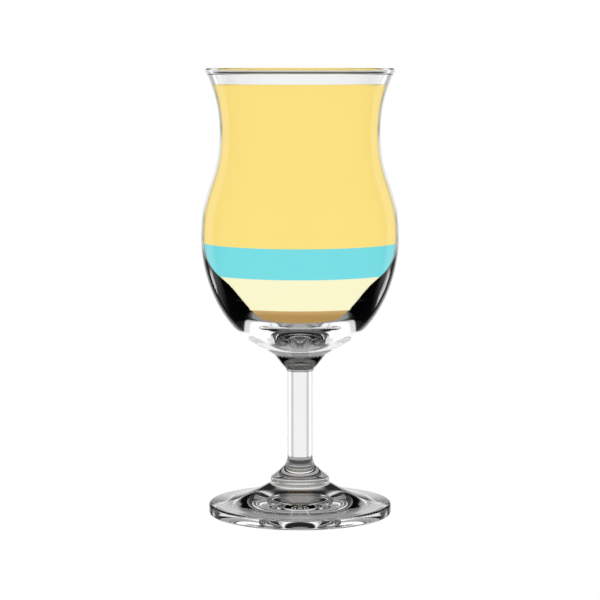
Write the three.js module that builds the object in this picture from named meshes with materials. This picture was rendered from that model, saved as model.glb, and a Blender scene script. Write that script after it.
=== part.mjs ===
// A white wine punch in four layers, served in its footed glass.
// The glass is one solid of clear glass: foot, knob, stem, waisted tulip bowl and rolled rim.
// The drink is four solids, one on another, from the bottom of the bowl to just under the rim.
// Every piece is turned about the Z axis, and the foot stands on Z = 0. Sizes are in millimetres.
import * as THREE from "three";

// Driving dimensions of the glass.
const glassHeight = 180;
const wall = 1.1;
const bead = { radius: 1.15, outwards: 0.35, from: -72, to: 222 };
const foot = { radius: 37, thickness: 4.3, lowRound: 1, highRound: 0.8 };
const knob = { radius: 12, bottom: 12.7, top: 14.1, grooveDepth: 0.25, grooveHeight: 13.4 };

// Stations of the outlines: a radius, a height, the angle at which the outline passes them in
// degrees (0 is outwards, 90 is up), and how far it follows that angle before and after.
const underCentre = station(0, 3.2, 0, 0, 12);
const restingRing = station(33, 0, -11, 12, 0);
const footShoulder = station(foot.radius - foot.highRound, foot.thickness, 174.7, 0, 13);
const footTop = station(knob.radius + 0.3, 12.2, 151.9, 6.8, 0);
const knobTop = station(knob.radius, knob.top, 90, 0, 0.8);
const knobShoulder = station(11.2, 15.5, 138, 0.5, 0.8);
const lowConeFoot = station(8.3, 17.6, 137, 1.6, 1.4);
const lowConeTop = station(6.2, 19.7, 125, 0.6, 0.4);
const lowCollar = station(5.5, 21.1, 98, 0.5, 0.4);
const stemFoot = station(5.1, 22.6, 90, 0.6, 0);
const stemHead = station(5.1, 58.1, 90, 0, 0);
const highCollar = station(5.55, 58.7, 90, 0, 0.5);
const highConeFoot = station(6.25, 59.8, 46, 0.8, 1.6);
const highConeTop = station(9.9, 64.3, 50, 1.2, 0.5);
const bowlNeck = station(10.35, 65, 32, 0.4, 3);
const bowlBase = station(20, 70.5, 31.4, 2.4, 13.6);
const belly = station(39.8, 112.9, 90, 17.7, 19.5);
const waist = station(32.25, 154.3, 90, 19.2, 13.2);
const lip = station(37.2, 177.6, 71.2, 2.3, 0);

// Stations of the hollow, from the belly down to its bottom on the axis.
const hollowBelly = station(belly.place.x - wall, belly.place.y, 270, 0, 3.5);
const hollowShoulder = station(37.35, 102.6, 254.3, 3.5, 3);
const hollowFlank = station(33.5, 94.5, 237.2, 3.5, 4.5);
const hollowHeel = station(24.1, 82.75, 224.7, 5, 6.7);
const hollowBottom = station(0, 73.3, 180, 5.6, 0);

// The height of each layer's top, the gap that keeps the solids apart, and the meniscus of the top layer.
const layerTop = { amber: 86.5, cream: 98.5, turquoise: 110.6, yellow: 173 };
const gap = 0.3;
const meniscus = { rise: 0.5, width: 2.4 };

// Faces round the axis, and the most that an outline turns from one point to the next.
const facesRound = 48;
const degreesAStep = 8;

// A point of an outline: its distance from the axis and its height.
function at(radius, height) {
  return new THREE.Vector2(radius, height);
}

function station(radius, height, angle, before, after) {
  const turn = THREE.MathUtils.degToRad(angle);
  const along = at(Math.cos(turn), Math.sin(turn));
  return { place: at(radius, height), along, before, after };
}

// The curve from one station to the next.
function between(from, to) {
  return new THREE.CubicBezierCurve(
    from.place,
    from.place.clone().addScaledVector(from.along, from.after),
    to.place.clone().addScaledVector(to.along, -to.before),
    to.place,
  );
}

// How many steps a curve takes, from how much it turns on its way.
function stepsAlong(curve) {
  const looks = 24;
  let turned = 0;
  for (let look = 0; look < looks; look += 1) {
    turned += curve.getTangent(look / looks).angleTo(curve.getTangent((look + 1) / looks));
  }
  return Math.max(1, Math.round(THREE.MathUtils.radToDeg(turned) / degreesAStep));
}

// The points of the curves through a row of stations.
function through(...stations) {
  const points = [stations[0].place];
  for (let next = 1; next < stations.length; next += 1) {
    const curve = between(stations[next - 1], stations[next]);
    points.push(...curve.getPoints(stepsAlong(curve)).slice(1));
  }
  return points;
}

// The points of a rounded edge, on an arc about a centre between two angles in degrees.
function rounded(radius, height, edgeRadius, from, to, steps) {
  const start = THREE.MathUtils.degToRad(from);
  const end = THREE.MathUtils.degToRad(to);
  return new THREE.EllipseCurve(radius, height, edgeRadius, edgeRadius, start, end).getPoints(steps);
}

// The foot: a gently arched underside, a flat ring to stand on, a rounded edge, and a top that climbs
// to the knob.
function footOutline() {
  const { radius, thickness, lowRound, highRound } = foot;
  return [
    ...through(underCentre, restingRing),
    ...rounded(radius - lowRound, lowRound, lowRound, -90, 0, 3),
    ...rounded(radius - highRound, thickness - highRound, highRound, 0, 90, 2),
    ...through(footShoulder, footTop).slice(1),
  ];
}

// The knob: a thick ring with one shallow groove, and on it a low cone that narrows to the stem.
function knobOutline() {
  return [
    at(knob.radius, knob.bottom),
    at(knob.radius - knob.grooveDepth, knob.grooveHeight),
    ...through(knobTop, knobShoulder, lowConeFoot, lowConeTop, lowCollar, stemFoot),
  ];
}

// The head of the stem, its slight collar and the cone that carries the bowl.
function stemOutline() {
  return [stemHead.place, ...through(highCollar, highConeFoot, highConeTop)];
}

// The rim: most of a round bead on top of the wall.
function rimOutline() {
  const centre = at(lip.place.x - bead.outwards, glassHeight - bead.radius);
  return rounded(centre.x, centre.y, bead.radius, bead.from, bead.to, 9);
}

// The inside of the thin upper wall, from the rim to the belly: the outside, moved in by the wall.
function thinWall() {
  const inside = [];
  for (const curve of [between(belly, waist), between(waist, lip)]) {
    const steps = stepsAlong(curve);
    for (let step = 1; step <= steps; step += 1) {
      const along = curve.getTangent(step / steps);
      inside.push(curve.getPoint(step / steps).add(at(-along.y, along.x).multiplyScalar(wall)));
    }
  }
  return inside.reverse();
}

// The inside of the bowl, from the rim down to the axis. Under the belly the wall grows thick.
const hollowSide = [
  ...thinWall(),
  ...through(hollowBelly, hollowShoulder, hollowFlank, hollowHeel, hollowBottom),
];

function glassOutline() {
  return [
    ...footOutline(),
    ...knobOutline(),
    ...stemOutline(),
    ...through(highConeTop, bowlNeck, bowlBase, belly, waist, lip).slice(1, -1),
    ...rimOutline(),
    ...hollowSide,
  ];
}

// The side that the drink may reach: the inside of the bowl, moved in by the gap.
const drinkSide = hollowSide.map((point, index) => {
  const before = hollowSide[Math.max(index - 1, 0)];
  const after = hollowSide[Math.min(index + 1, hollowSide.length - 1)];
  const along = after.clone().sub(before).normalize();
  return at(Math.max(point.x + along.y * gap, 0), point.y - along.x * gap);
});

// The radius of the drink at a height, along the straight steps of its side.
function drinkRadius(height) {
  const upper = drinkSide.findLastIndex((point) => point.y >= height);
  const high = drinkSide[upper];
  const low = drinkSide[upper + 1];
  return THREE.MathUtils.mapLinear(height, low.y, high.y, low.x, high.x);
}

// One layer of the drink between two heights. The lowest layer starts on the bottom of the hollow.
function layerOutline(low, high) {
  const side = drinkSide.filter((point) => point.y > low && point.y < high).reverse();
  const base = low > hollowBottom.place.y ? [at(0, low), at(drinkRadius(low), low)] : [];
  return [...base, ...side, at(drinkRadius(high), high), at(0, high)];
}

// The top layer, with its meniscus: near the wall the drink climbs the glass a little.
function topLayerOutline(low, high) {
  const sides = layerOutline(low, high).slice(0, -2);
  const climbed = high + meniscus.rise;
  const radius = drinkRadius(climbed);
  return [
    ...sides,
    at(radius, climbed),
    at(radius - meniscus.width / 3, high + meniscus.rise / 4),
    at(radius - meniscus.width, high),
    at(0, high),
  ];
}

// A named piece: its outline turned about the axis, with the axis stood upright.
function turnedPiece(name, points, look) {
  const geometry = new THREE.LatheGeometry(points, facesRound);
  geometry.rotateX(Math.PI / 2);
  const piece = new THREE.Mesh(geometry, new THREE.MeshStandardMaterial(look));
  piece.name = name;
  return piece;
}

const clearGlass = { color: 0xf2f5f5, roughness: 0.03, metalness: 0, transparent: true, opacity: 0.3 };
const amberSyrup = { color: 0xc8a360, roughness: 0.15, metalness: 0 };
const creamPunch = { color: 0xf9f6d0, roughness: 0.2, metalness: 0 };
const turquoisePunch = { color: 0x7bdde3, roughness: 0.2, metalness: 0 };
const yellowPunch = { color: 0xfae082, roughness: 0.2, metalness: 0 };

const wineCup = new THREE.Group();
wineCup.add(
  turnedPiece("glass", glassOutline(), clearGlass),
  turnedPiece("amber_layer", layerOutline(0, layerTop.amber), amberSyrup),
  turnedPiece("cream_layer", layerOutline(layerTop.amber + gap, layerTop.cream), creamPunch),
  turnedPiece("turquoise_layer", layerOutline(layerTop.cream + gap, layerTop.turquoise), turquoisePunch),
  turnedPiece("yellow_layer", topLayerOutline(layerTop.turquoise + gap, layerTop.yellow), yellowPunch),
);

export default wineCup;
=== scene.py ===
"""A white wine punch in four layers, in its footed tulip glass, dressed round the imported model."""
import math

import bmesh
import bpy
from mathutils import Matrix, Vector
from mathutils.geometry import interpolate_bezier


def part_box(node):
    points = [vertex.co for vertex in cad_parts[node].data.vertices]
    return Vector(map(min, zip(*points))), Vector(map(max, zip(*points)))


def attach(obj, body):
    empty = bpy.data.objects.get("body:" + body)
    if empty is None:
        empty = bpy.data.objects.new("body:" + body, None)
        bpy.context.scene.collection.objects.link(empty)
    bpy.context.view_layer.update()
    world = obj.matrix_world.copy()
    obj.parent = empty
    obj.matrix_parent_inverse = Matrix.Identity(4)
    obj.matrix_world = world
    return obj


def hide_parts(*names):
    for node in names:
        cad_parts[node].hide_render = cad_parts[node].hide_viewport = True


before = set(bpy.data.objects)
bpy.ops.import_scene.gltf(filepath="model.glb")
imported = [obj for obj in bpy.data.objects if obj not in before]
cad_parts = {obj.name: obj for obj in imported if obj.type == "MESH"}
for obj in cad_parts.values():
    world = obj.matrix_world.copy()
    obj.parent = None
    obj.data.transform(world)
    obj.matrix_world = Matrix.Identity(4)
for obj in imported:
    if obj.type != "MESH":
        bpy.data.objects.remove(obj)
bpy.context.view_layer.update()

# The glass. A footed tulip glass of clear soda-lime glass, blown and pressed in one piece: foot, knob,
# stem, collar, thick-based bowl and rolled rim, with its outer corners fire polished. It is drawn as an
# outline in millimetres and turned about its axis.

MILLIMETRE = 0.001
GLASS_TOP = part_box("glass")[1].z / MILLIMETRE
GLASS_IOR = 1.5
MOST_HAZE = 0.003
WAVE_HEIGHT = 0.05
FOOT_RADIUS = 37.0
FOOT_THICKNESS = 4.3
FOOT_ARCH = 3.2
FOOT_LOW_ROUND = 1.0
FOOT_HIGH_ROUND = 0.8
KNOB_RADIUS = 12.0
KNOB_BOTTOM = 12.7
KNOB_GROOVE_DEPTH = 0.25
KNOB_GROOVE_HEIGHT = 13.4
KNOB_TOP = 14.1
STEM_RADIUS = 5.1
STEM_BOTTOM = 22.6
STEM_TOP = 58.1
BELLY_RADIUS = 39.8
BELLY_HEIGHT = 112.9
WAIST_RADIUS = 32.25
WAIST_HEIGHT = 154.3
LIP_RADIUS = 37.2
LIP_HEIGHT = 177.6
BEAD_RADIUS = 1.15
BEAD_OUTWARDS = 0.35
WALL = 1.1
HOLLOW_BOTTOM = 73.3
FACES_ROUND = 192
LONGEST_STEP = 1.3
MOST_TURN = 7.0
TRIAL_POINTS = 13
SAME_PLACE = 1e-6


def station(radius, height, angle, before, after):
    """A point of an outline, its direction in degrees, 0 outwards and 90 up, and how far it keeps to that."""
    turn = math.radians(angle)
    along = Vector((math.cos(turn), 0, math.sin(turn)))
    place = Vector((radius, 0, height))
    return place - along * before, place, place + along * after


def rounded(radius, height, round_radius, start, end):
    """The stations of an arc about a centre, from one angle to another."""
    pieces = max(1, math.ceil(abs(end - start) / 90))
    turn = (end - start) / pieces
    reach = 4 / 3 * math.tan(math.radians(turn) / 4) * round_radius
    stations = []
    for index in range(pieces + 1):
        angle = start + turn * index
        across, up = math.cos(math.radians(angle)), math.sin(math.radians(angle))
        place = (radius + round_radius * across, height + round_radius * up)
        stations.append(station(*place, angle + 90, reach, reach))
    return stations


def drawn(stations):
    """The points of the curves through the stations, closer together where a curve turns more."""
    points = [stations[0][1]]
    for (_, here, leaving), (arriving, there, _) in zip(stations, stations[1:]):
        trial = interpolate_bezier(here, leaving, arriving, there, TRIAL_POINTS)
        ways = [b - a for a, b in zip(trial, trial[1:])]
        length = sum(way.length for way in ways)
        turned_by = sum(math.degrees(a.angle(b, 0)) for a, b in zip(ways, ways[1:]))
        steps = max(1, math.ceil(length / LONGEST_STEP), math.ceil(turned_by / MOST_TURN))
        points.extend(interpolate_bezier(here, leaving, arriving, there, steps + 1)[1:])
    return points


def moved_sideways(points, distance):
    """The same outline, moved to the left of the way it runs."""
    moved = []
    for index, point in enumerate(points):
        along = points[min(index + 1, len(points) - 1)] - points[max(index - 1, 0)]
        moved.append(point + Vector((-along.z, 0, along.x)).normalized() * distance)
    return moved


def turned(points):
    """A bmesh of an outline in millimetres, spun about the axis and closed at its poles."""
    bm = bmesh.new()
    corners = [bm.verts.new(point * MILLIMETRE) for point in points]
    edges = [bm.edges.new(pair) for pair in zip(corners, corners[1:])]
    bmesh.ops.spin(bm, geom=corners + edges, cent=(0, 0, 0), axis=(0, 0, 1), angle=math.tau,
                   steps=FACES_ROUND, use_merge=True)
    bmesh.ops.remove_doubles(bm, verts=bm.verts, dist=SAME_PLACE)
    bmesh.ops.recalc_face_normals(bm, faces=bm.faces)
    for face in bm.faces:
        face.smooth = True
    return bm


def piece(name, bm, *materials):
    """A bmesh as an object of the scene, with its materials."""
    mesh = bpy.data.meshes.new(name)
    bm.to_mesh(mesh)
    bm.free()
    for material in materials:
        mesh.materials.append(material)
    made = bpy.data.objects.new(name, mesh)
    bpy.context.scene.collection.objects.link(made)
    return made


foot = [
    station(0, FOOT_ARCH, 0, 0, 12),
    station(32.8, 0.04, -11, 12, 0.1),
    station(33.2, 0, 0, 0.1, 0.4),
    *rounded(FOOT_RADIUS - FOOT_LOW_ROUND, FOOT_LOW_ROUND, FOOT_LOW_ROUND, -90, 0),
    *rounded(FOOT_RADIUS - FOOT_HIGH_ROUND, FOOT_THICKNESS - FOOT_HIGH_ROUND, FOOT_HIGH_ROUND, 0, 90)[:-1],
    station(FOOT_RADIUS - FOOT_HIGH_ROUND, FOOT_THICKNESS, 174.7, 0.4, 13),
    station(KNOB_RADIUS + 0.5, 12.1, 151.9, 6.6, 0.3),
]
knob = [
    station(KNOB_RADIUS, KNOB_BOTTOM, 90, 0.35, 0.2),
    station(KNOB_RADIUS - KNOB_GROOVE_DEPTH, KNOB_GROOVE_HEIGHT, 90, 0.2, 0.2),
    station(KNOB_RADIUS, KNOB_TOP, 90, 0.2, 0.8),
    station(11.2, 15.5, 138, 0.5, 0.8),
]
stem = [
    station(8.3, 17.6, 137, 1.6, 1.4),
    station(6.2, 19.7, 125, 0.6, 0.4),
    station(5.5, 21.1, 98, 0.5, 0.4),
    station(STEM_RADIUS, STEM_BOTTOM, 90, 0.6, 4),
    station(STEM_RADIUS, STEM_TOP, 90, 4, 0.4),
]
collar_and_neck = [
    station(5.55, 58.7, 90, 0.4, 0.5),
    station(6.25, 59.8, 46, 0.8, 1.6),
    station(9.9, 64.3, 50, 1.2, 0.5),
    station(10.35, 65, 32, 0.4, 3),
]
bowl_base = station(20, 70.5, 31.4, 2.4, 13.6)
belly = station(BELLY_RADIUS, BELLY_HEIGHT, 90, 17.7, 19.5)
waist = station(WAIST_RADIUS, WAIST_HEIGHT, 90, 19.2, 13.2)
lip = station(LIP_RADIUS, LIP_HEIGHT, 71.2, 2.3, 0.3)
outside = drawn([*foot, *knob, *stem, *collar_and_neck, bowl_base, belly, waist, lip])

bead = rounded(LIP_RADIUS - BEAD_OUTWARDS, GLASS_TOP - BEAD_RADIUS, BEAD_RADIUS, -60, 215)
rim = drawn([lip, *bead])

thin_wall = moved_sideways(drawn([belly, waist, lip]), WALL)[::-1]
thick_wall = drawn([
    station(BELLY_RADIUS - WALL, BELLY_HEIGHT, 270, 0, 3.5),
    station(37.35, 102.6, 254.3, 3.5, 3),
    station(33.5, 94.5, 237.2, 3.5, 4.5),
    station(24.1, 82.75, 224.7, 5, 6.7),
    station(0, HOLLOW_BOTTOM, 180, 5.6, 0),
])
hollow = thin_wall + thick_wall[1:]


class Shade:
    """A value in a material. Plain arithmetic on it adds Math nodes, and node() adds any other."""

    def __init__(self, tree, output=None):
        self.tree, self.output = tree, output

    def node(self, kind, settings=(), sockets=(), output=0):
        """A new node with its settings, its sockets' values or links, and the output that is wanted of it."""
        made = self.tree.nodes.new("ShaderNode" + kind)
        for name, setting in dict(settings).items():
            setattr(made, name, setting)
        for key, value in dict(sockets).items():
            if isinstance(value, Shade):
                self.tree.links.new(value.output, made.inputs[key])
            else:
                made.inputs[key].default_value = value
        return Shade(self.tree, made.outputs[output] if made.outputs else None)

    def math(self, operation, first, second=0.0):
        return self.node("Math", {"operation": operation}, {0: first, 1: second})

    def __add__(self, other):
        return self.math("ADD", self, other)

    def __radd__(self, other):
        return self.math("ADD", other, self)

    def __sub__(self, other):
        return self.math("SUBTRACT", self, other)

    def __rsub__(self, other):
        return self.math("SUBTRACT", other, self)

    def __mul__(self, other):
        return self.math("MULTIPLY", self, other)

    def __rmul__(self, other):
        return self.math("MULTIPLY", other, self)


def blank_material(name):
    """A new material with no nodes, and the Shade that its nodes are added through."""
    material = bpy.data.materials.new(name)
    material.use_nodes = True
    material.node_tree.nodes.clear()
    return material, Shade(material.node_tree)


def either(share, first, second):
    """The first shader where share is 0, the second where it is 1, and a mix of both between."""
    return share.node("MixShader", sockets={0: share, 1: first, 2: second})


def clear_glass():
    """Clear glass with the faint waviness of hot glass and a breath of haze."""
    material, shade = blank_material("clear_glass")
    place = shade.node("TexCoord", output="Object")
    waves = shade.node("TexNoise", sockets={"Vector": place, "Scale": 30.0, "Detail": 0.0})
    haze = shade.node("TexNoise", sockets={"Vector": place, "Scale": 240.0, "Detail": 3.0})
    surface = shade.node("Bump", sockets={
        "Height": waves, "Strength": 0.2, "Distance": WAVE_HEIGHT * MILLIMETRE})
    glass = shade.node("BsdfPrincipled", {"distribution": "GGX"}, {
        "Base Color": (0.985, 0.992, 0.99, 1), "Roughness": haze * MOST_HAZE, "IOR": GLASS_IOR,
        "Transmission Weight": 1.0, "Normal": surface})
    from_drink = shade.node("LightPath", output="Is Diffuse Ray")
    skin = either(from_drink, glass, shade.node("BsdfTransparent"))
    shade.node("OutputMaterial", sockets={"Surface": skin})
    return material


glass = piece("footed_glass", turned(outside + rim[1:] + hollow), clear_glass())
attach(glass, "root")
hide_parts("glass")

# The drink. Four level layers poured one on another, from the amber one on the bottom of the bowl to the
# yellow one under the rim. Each is the hollow's own shape, cut level at its foot and at its head, and it
# reaches a little into the wall so that no air shows between drink and glass.

AMBER_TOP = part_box("amber_layer")[1].z / MILLIMETRE
CREAM_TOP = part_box("cream_layer")[1].z / MILLIMETRE
TURQUOISE_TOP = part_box("turquoise_layer")[1].z / MILLIMETRE
YELLOW_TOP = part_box("yellow_layer")[1].z / MILLIMETRE
REACH_INTO_WALL = 0.12
MENISCUS_RISE = 0.5
MENISCUS_WIDTH = 2.4
THINNED_FROM = AMBER_TOP - 2.2
THINNED_TO = AMBER_TOP + 0.2

AMBER = (0.455, 0.29, 0.1)
AMBER_CLOUD = (0.415, 0.255, 0.08)
THINNED_AMBER = (0.60, 0.395, 0.163)
CREAM = (0.95, 0.92, 0.62)
CREAM_CLOUD = (0.93, 0.90, 0.58)
TURQUOISE = (0.195, 0.73, 0.775)
TURQUOISE_CLOUD = (0.18, 0.70, 0.75)
YELLOW = (0.97, 0.75, 0.225)
YELLOW_CLOUD = (0.955, 0.73, 0.21)
# A painted reflection: the flat dim grey that the drink shows in its mirror images.
PAINTED_REFLECTION_GREY = (0.09, 0.09, 0.09)
WHITE = (1, 1, 1)
MIRROR_STARTS = 0.5


def soft_step(value, start, end, low=0.0, high=1.0):
    """Runs softly from low to high while the value runs from start to end."""
    return value.node("MapRange", {"interpolation_type": "SMOOTHSTEP"}, {
        0: value, 1: start, 2: end, 3: low, 4: high})


def mixed(share, first, second):
    """The first colour where share is 0, the second where it is 1, and a mix of both between."""
    return share.node("Mix", {"data_type": "RGBA"}, {0: share, 6: first, 7: second}, 2)


def drink_material(name, colour, cloud_colour, cloud_size, thinned_colour=None):
    """An even, faintly cloudy liquid behind glass. Where the wall can't be looked through, it mirrors.

    It may be thinned near its top by the layer above. Its mirror images in the thick base and the stem
    are a dim grey, so that these stay as neutral as in the photo.
    """
    material, shade = blank_material(name)
    place = shade.node("TexCoord", output="Object")
    cloud = shade.node("TexNoise", sockets={
        "Vector": place, "Scale": 1 / (cloud_size * MILLIMETRE), "Detail": 2.0})
    tint = mixed(cloud, (*colour, 1), (*cloud_colour, 1))
    if thinned_colour:
        height = shade.node("SeparateXYZ", sockets={"Vector": place}, output="Z") * (1 / MILLIMETRE)
        tint = mixed(soft_step(height, THINNED_FROM, THINNED_TO), tint, (*thinned_colour, 1))
    liquid = shade.node("BsdfPrincipled", sockets={
        "Base Color": tint, "Roughness": 0.35 + cloud * 0.1, "IOR": 1.33, "Specular IOR Level": 0.0})
    # Painted reflection: rays mirrored onto the drink find a flat dim grey in place of the liquid.
    dim = shade.node("BsdfDiffuse", sockets={"Color": (*PAINTED_REFLECTION_GREY, 1)})
    seen = either(shade.node("LightPath", output="Is Reflection Ray"), liquid, dim)
    mirror = shade.node("BsdfGlossy", sockets={"Color": (*WHITE, 1), "Roughness": 0.0})
    edge = shade.node("Fresnel", sockets={"IOR": 1 / GLASS_IOR})
    skin = either((edge - MIRROR_STARTS) * (1 / (1 - MIRROR_STARTS)), seen, mirror)
    shade.node("OutputMaterial", sockets={"Surface": skin})
    return material


def free_surface(name, colour):
    """The open top of the drink: the same liquid with a wet, slightly rippled skin."""
    material, shade = blank_material(name)
    place = shade.node("TexCoord", output="Object")
    ripple = shade.node("TexNoise", sockets={"Vector": place, "Scale": 90.0, "Detail": 2.0})
    surface = shade.node("Bump", sockets={"Height": ripple, "Strength": 0.08, "Distance": MILLIMETRE})
    liquid = shade.node("BsdfPrincipled", sockets={
        "Base Color": (*colour, 1), "Roughness": 0.06 + ripple * 0.04, "IOR": 1.34, "Normal": surface})
    shade.node("OutputMaterial", sockets={"Surface": liquid})
    return material


def level_cut(bm, height, up):
    """Cuts a bmesh level at a height in millimetres, keeps what is above or below, and closes the cut."""
    cut = bmesh.ops.bisect_plane(
        bm, geom=bm.verts[:] + bm.edges[:] + bm.faces[:], plane_co=(0, 0, height * MILLIMETRE),
        plane_no=(0, 0, -1 if up else 1), clear_outer=True)
    border = [part for part in cut["geom_cut"] if isinstance(part, bmesh.types.BMEdge)]
    for edge in border:
        edge.smooth = False
    return bmesh.ops.holes_fill(bm, edges=border, sides=0)["faces"]


def sunk_meniscus(bm, top):
    """Sinks the level top face in two rings, so that the drink stands higher along the wall.

    The rings and the top get the layer's second material.
    """
    rings = (
        (MENISCUS_WIDTH / 3, MENISCUS_RISE * 3 / 4),
        (MENISCUS_WIDTH * 2 / 3, MENISCUS_RISE / 4),
    )
    for width, drop in rings:
        ring = bmesh.ops.inset_region(bm, faces=top, thickness=width * MILLIMETRE)["faces"]
        bmesh.ops.translate(bm, verts=top[0].verts, vec=(0, 0, -drop * MILLIMETRE))
        for face in ring:
            face.smooth = True
            face.material_index = 1
    top[0].material_index = 1


def pour(name, node, low, high, material, top_material=None):
    """One layer between two heights, or from the bottom of the hollow, in place of that node's CAD layer."""
    bm = turned(moved_sideways(hollow, REACH_INTO_WALL))
    if low is not None:
        level_cut(bm, low, up=True)
    top = level_cut(bm, high, up=False)
    for face in top:
        face.smooth = False
    materials = [material]
    if top_material:
        sunk_meniscus(bm, top)
        materials.append(top_material)
    bmesh.ops.recalc_face_normals(bm, faces=bm.faces)
    layer = piece(name, bm, *materials)
    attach(layer, "root")
    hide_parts(node)


pour("amber_punch", "amber_layer", None, AMBER_TOP,
     drink_material("amber_liquid", AMBER, AMBER_CLOUD, 12, THINNED_AMBER))
pour("cream_punch", "cream_layer", AMBER_TOP, CREAM_TOP,
     drink_material("cream_liquid", CREAM, CREAM_CLOUD, 18))
pour("turquoise_punch", "turquoise_layer", CREAM_TOP, TURQUOISE_TOP,
     drink_material("turquoise_liquid", TURQUOISE, TURQUOISE_CLOUD, 20))
pour("yellow_punch", "yellow_layer", TURQUOISE_TOP, YELLOW_TOP,
     drink_material("yellow_liquid", YELLOW, YELLOW_CLOUD, 30),
     free_surface("yellow_surface", YELLOW))

# The stage. A plain pale floor that runs out into a white background, with a painted shadow round the foot
# that only shows through the glass. Soft cloths hang round the object, fixed to the camera as round a
# turntable, and give the glass its white middle and its dark edges from every side, while the drink is lit
# evenly from all round.

CAMERA_DISTANCE = 0.885
CAMERA_HEIGHT = 0.179
CAMERA_TILT = math.radians(5.94)
PIXELS_TO_THE_FOCUS = 2204.5
PICTURE_WIDTH = 600
SENSOR_WIDTH = 36.0
TENT_RADIUS = 3.0
BARE_TENT = 0.015
FLOOR_RADIUS = 6.0
FLOOR_DROP = 0.0001
# A painted shadow on the floor round the foot, seen only through the glass: grey, darkest in its middle.
PAINTED_SHADOW_FADES_FROM = 0.05
PAINTED_SHADOW_END = 0.11
DARKEST_SHADOW_TO = 0.014
DARKEST_SHADOW_ENDS = 0.027
DARKEST_SHADOW_GREY = 0.08
PAINTED_SHADOW_GREY = 0.4
LIGHT_ROUND_THE_DRINK = 1.08
DEEP_BOUNCES = 40
MIRROR_BOUNCES = 6

camera_data = bpy.data.cameras.new("camera")
camera_data.sensor_width = SENSOR_WIDTH
camera_data.lens = PIXELS_TO_THE_FOCUS / PICTURE_WIDTH * SENSOR_WIDTH
camera = bpy.data.objects.new("camera", camera_data)
camera.location = (0, -CAMERA_DISTANCE, CAMERA_HEIGHT)
camera.rotation_euler = (math.pi / 2 - CAMERA_TILT, 0, 0)
scene = bpy.context.scene
scene.collection.objects.link(camera)
scene.camera = camera


def band(value, start, full, fading, end):
    """1 between two limits, with a soft edge on either side."""
    return soft_step(value, start, full) * soft_step(value, end, fading)


def out_to(fading, end):
    """The bearings from straight behind the glass out to an edge."""
    return -1, 0, fading, end


def strongest(cloths, lift):
    """The light of the strongest cloth in each direction, or the bare tent's faint light between them."""
    light = BARE_TENT
    for way, across, up, strength in cloths:
        light = lift.math("MAXIMUM", band(way, *across) * band(lift, *up) * strength, light)
    return light


def tent_light():
    """The cloths of the tent, each between two bearings and two elevations in degrees, with its strength.

    Bearing 0 lies straight behind the glass, and a cloth on either side hangs twice, left and right.
    """
    material, shade = blank_material("tent_light")
    place = shade.node("TexCoord", output="Object")
    across, back, up = [shade.node("SeparateXYZ", sockets={"Vector": place}, output=axis) for axis in "XYZ"]
    bearing = shade.math("ARCTAN2", across, back) * math.degrees(1)
    either_side = shade.math("ABSOLUTE", bearing)
    lift = shade.math("ARCSINE", up * (1 / TENT_RADIUS)) * math.degrees(1)
    through_the_glass = (
        (either_side, out_to(88, 95), (-14, -12, -6, -3), 0.64),
        (either_side, out_to(18, 35), (-22, -14, -6, -3), 0.95),
        (either_side, (32, 40, 88, 95), (-14, -12, -6, -3), 1.05),
        (either_side, out_to(12, 16), (-6, -3, 6, 10), 1.05),
        (either_side, out_to(31, 35), (-6, -3, -2, 1), 0.66),
        (either_side, out_to(31, 35), (-2, 1, 6, 10), 1.05),
        (either_side, out_to(10, 16), (20, 24, 38, 44), 0.28),
        (either_side, out_to(20, 26), (20, 24, 38, 44), 0.18),
        (either_side, out_to(31, 35), (30, 44, 90, 91), 0.12),
        (either_side, out_to(7, 9), (-58, -50, -37, -33), 0.5),
        (either_side, (14, 17, 22, 28), (-58, -50, -32, -26), 0.42),
        (either_side, (31, 35, 46, 50), (-30, -12, 38, 44), 1.2),
        (either_side, (44, 48, 54, 58), (-30, -12, 46, 56), 0.9),
        (either_side, (14, 17, 180, 181), (-91, -90, -30, -15), 0.26),
        (either_side, (112, 128, 180, 181), (-22, -16, 40, 60), 0.36),
    )
    off_its_skin = (
        (either_side, out_to(14, 33), (-60, -50, 2, 12), 0.9),
        (either_side, (4.6, 5.4, 9.5, 11), (10, 12, 20, 22.5), 1.4),
        (bearing, (33, 36, 40, 50), (-24, -21, -14, -11), 2.8),
        (bearing, (-46, -41, -37, -33), (-19.5, -17, -14, -11), 2.8),
        (either_side, out_to(180, 181), (70, 80, 90, 91), 0.6),
        (either_side, (32, 40, 54, 64), (-30, -10, 25, 35), 0.6),
    )
    through, off = strongest(through_the_glass, lift), strongest(off_its_skin, lift)
    reflected = shade.node("LightPath", output="Is Reflection Ray")
    light = shade.node("Emission", sockets={"Color": through + (off - through) * reflected, "Strength": 1.0})
    shade.node("OutputMaterial", sockets={"Surface": light})
    material.cycles.emission_sampling = "NONE"
    return material


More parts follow.
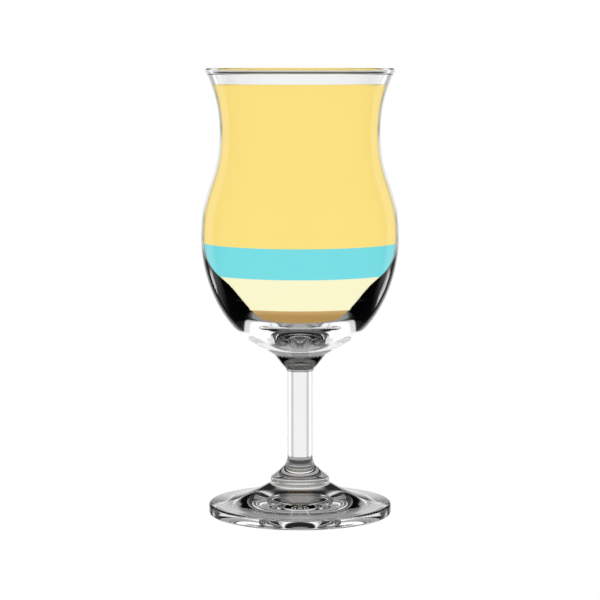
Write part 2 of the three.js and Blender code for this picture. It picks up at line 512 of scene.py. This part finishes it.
def pale_floor():
    """White to the camera, open to the tent's light, and a painted shadow where it shows through the foot."""
    material, shade = blank_material("pale_floor")
    place = shade.node("TexCoord", output="Object")
    away = shade.node("VectorMath", {"operation": "LENGTH"}, {0: place}, "Value")
    # Painted shadow: darkest grey in the middle, lighter grey out to the edge of the patch.
    grey = soft_step(away, DARKEST_SHADOW_TO, DARKEST_SHADOW_ENDS, DARKEST_SHADOW_GREY, PAINTED_SHADOW_GREY)
    patch = shade.node("Emission", sockets={"Color": grey, "Strength": 1.0})
    white = shade.node("Emission", sockets={"Color": (*WHITE, 1), "Strength": 1.0})
    through_glass = shade.node("LightPath", output="Is Transmission Ray")
    to_the_camera = shade.node("LightPath", output="Is Camera Ray")
    under_the_glass = either(
        soft_step(away, PAINTED_SHADOW_END, PAINTED_SHADOW_FADES_FROM) * through_glass, shade.node("BsdfTransparent"), patch)
    shade.node("OutputMaterial", sockets={"Surface": either(to_the_camera, under_the_glass, white)})
    material.cycles.emission_sampling = "NONE"
    return material


tent_mesh = bmesh.new()
bmesh.ops.create_uvsphere(tent_mesh, u_segments=96, v_segments=48, radius=TENT_RADIUS)
tent = piece("light_tent", tent_mesh, tent_light())
tent.parent = camera
tent.location = (0, 0, -CAMERA_DISTANCE / math.cos(CAMERA_TILT))
tent.rotation_euler = (CAMERA_TILT - math.pi / 2, 0, 0)
tent.visible_camera = False
tent.visible_diffuse = False
tent.visible_shadow = False

floor_mesh = bmesh.new()
bmesh.ops.create_circle(floor_mesh, cap_ends=True, segments=64, radius=FLOOR_RADIUS)
bmesh.ops.translate(floor_mesh, verts=floor_mesh.verts, vec=(0, 0, -FLOOR_DROP))
floor = piece("floor", floor_mesh, pale_floor())

world = bpy.data.worlds.new("studio")
world.use_nodes = True
world.node_tree.nodes.clear()
world.cycles.sampling_method = "NONE"
air = Shade(world.node_tree)
round_the_drink = air.node("Background", sockets={"Color": (*WHITE, 1), "Strength": LIGHT_ROUND_THE_DRINK})
background = air.node("Background", sockets={"Color": (*WHITE, 1), "Strength": 1.0})
room = either(air.node("LightPath", output="Is Camera Ray"), round_the_drink, background)
air.node("OutputWorld", sockets={"Surface": room})
scene.world = world

scene.view_settings.view_transform = "Standard"
scene.cycles.max_bounces = DEEP_BOUNCES
scene.cycles.transmission_bounces = DEEP_BOUNCES
scene.cycles.transparent_max_bounces = DEEP_BOUNCES
scene.cycles.glossy_bounces = MIRROR_BOUNCES
